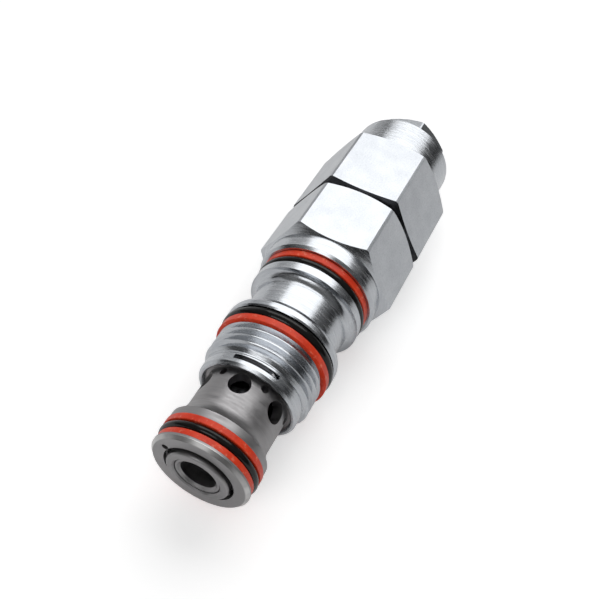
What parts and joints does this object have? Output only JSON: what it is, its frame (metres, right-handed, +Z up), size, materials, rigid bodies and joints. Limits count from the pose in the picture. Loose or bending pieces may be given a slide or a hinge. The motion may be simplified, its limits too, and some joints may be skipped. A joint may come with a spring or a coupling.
{
  "type": "hydraulic cartridge valve",
  "caption": "Screw-in hydraulic cartridge valve with a hexagonal body and bonnet, threaded collar, seal groups and a floating drilled nose sleeve.",
  "frame": {"origin": "on the valve's axis, in the plane of the port block's face, where the lower hexagon's underside cone is 33.2 mm across", "axes": "+X along the axis from the nose to the cap; +Z up, square to the upper flat of the lower hexagon, the valve lying on its side"},
  "size_m": [0.1214, 0.0342, 0.0302],
  "materials": {
    "zinc_plated_steel": "bright zinc plate over turned and milled steel",
    "sleeve_steel": "satin, oiled",
    "hardened_steel": "ground",
    "dark_screw_steel": "black oxide, oiled",
    "dark_spring_steel": "oil tempered wire",
    "bright_wire": "polished wire",
    "black_rubber": "oiled nitrile rubber, glossy",
    "orange_backup": "orange-red polyurethane, slightly glossy"
  },
  "bodies": {
    "valve_body": {"hex_body": "zinc_plated_steel", "bonnet": "zinc_plated_steel", "bonnet_o_ring": "black_rubber", "retaining_wire": "bright_wire", "collar_backup_ring": "orange_backup", "collar_o_ring": "black_rubber", "flange_o_ring": "black_rubber", "flange_backup_ring": "orange_backup", "main_spring": "dark_spring_steel"},
    "nose": {"sleeve": "sleeve_steel", "nose_backup_ring_front": "orange_backup", "nose_backup_ring_rear": "orange_backup", "nose_o_ring": "black_rubber", "nose_keeper": "sleeve_steel", "snap_ring": "dark_spring_steel", "check_spring": "dark_spring_steel"},
    "check": {"check_seat": "sleeve_steel"},
    "relief_piston": {"piston": "hardened_steel", "piston_o_ring": "black_rubber", "piston_backup_rings": "orange_backup", "lower_spring_pad": "hardened_steel"},
    "spring_adjuster": {"upper_spring_pad": "hardened_steel"},
    "screw": {"adjusting_screw": "dark_screw_steel", "screw_o_ring": "black_rubber"},
    "nut": {"lock_nut": "zinc_plated_steel"}
  },
  "joints": [
    {"name": "nose_swivel", "type": "hinge", "parent": "valve_body", "child": "nose", "pos_m": [-0.0369, 0, 0], "axis": [1, 0, 0], "continuous": true},
    {"name": "check_lift", "type": "slide", "parent": "nose", "child": "check", "axis": [-1, 0, 0], "range_m": [0, 0.002], "stiffness_N_per_m": 2000, "springref_m": -0.0015, "deforming": ["check_spring"]},
    {"name": "piston_lift", "type": "slide", "parent": "valve_body", "child": "relief_piston", "axis": [1, 0, 0], "range_m": [0, 0.0025], "stiffness_N_per_m": 60000, "springref_m": -0.004, "deforming": ["main_spring"]},
    {"name": "screw_turn", "type": "hinge", "parent": "spring_adjuster", "child": "screw", "pos_m": [0.045, 0, 0], "axis": [1, 0, 0], "range_deg": [-900, 600]},
    {"name": "pad_travel", "type": "slide", "parent": "valve_body", "child": "spring_adjuster", "axis": [1, 0, 0], "range_m": [-0.0039, 0.0026]},
    {"name": "nut_turn", "type": "hinge", "parent": "valve_body", "child": "nut", "pos_m": [0.054, 0, 0], "axis": [1, 0, 0], "range_deg": [0, 360]}
  ],
  "couplings": [
    {"joint": "pad_travel", "follows": "screw_turn", "m_per_rad": 0.00023873}
  ]
}
